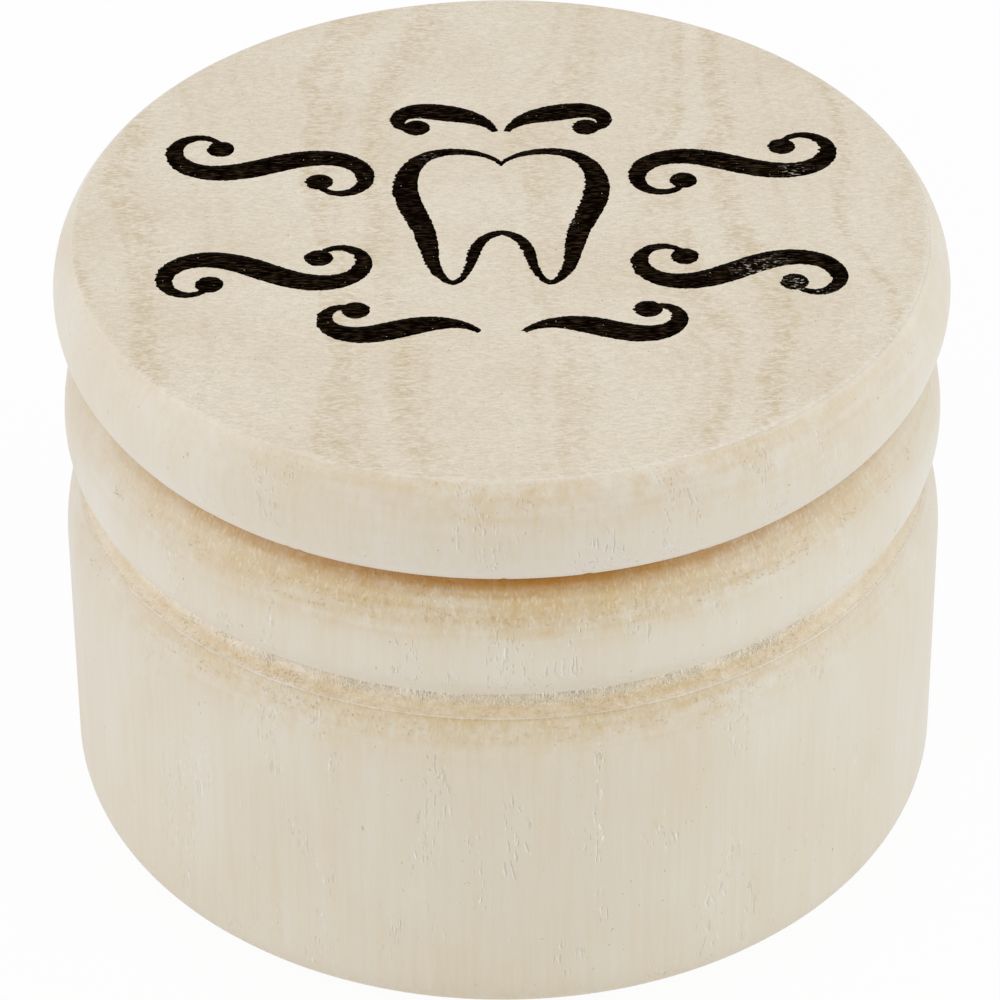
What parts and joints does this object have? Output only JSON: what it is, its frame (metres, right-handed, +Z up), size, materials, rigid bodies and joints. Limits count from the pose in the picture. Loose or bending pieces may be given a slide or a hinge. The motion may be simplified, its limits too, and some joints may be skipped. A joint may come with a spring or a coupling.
{
  "type": "baby tooth box",
  "caption": "Small round turned wooden keepsake box for milk teeth: a hollow base with a bead and V groove, and a lift-off plug lid stamped in black with a tooth and scrolls.",
  "frame": {"origin": "centre of the underside of the base, on the surface that the box stands on", "axes": "+Z up along the axis of the round box; -Y is the front, towards which the foot of the stamped tooth points; +X is to the right of the motif"},
  "size_m": [0.045, 0.045, 0.033],
  "materials": {
    "pale_wood": "bare fine-sanded pale hardwood, end grain on the lid's top, fibres torn a little in the groove",
    "black_stamp": "matt black hot-stamped colour, slightly sunk in the wood"
  },
  "bodies": {
    "base": {"base": "pale_wood"},
    "lid": {"lid": "pale_wood", "stamped_tooth": "black_stamp", "stamped_high_scrolls": "black_stamp", "stamped_low_scrolls": "black_stamp", "stamped_sprig": "black_stamp", "stamped_underline": "black_stamp"}
  },
  "joints": [
    {"name": "lid_lift", "type": "slide", "parent": "base", "child": "lid", "axis": [0, 0, 1], "range_m": [0, 0.03]}
  ]
}
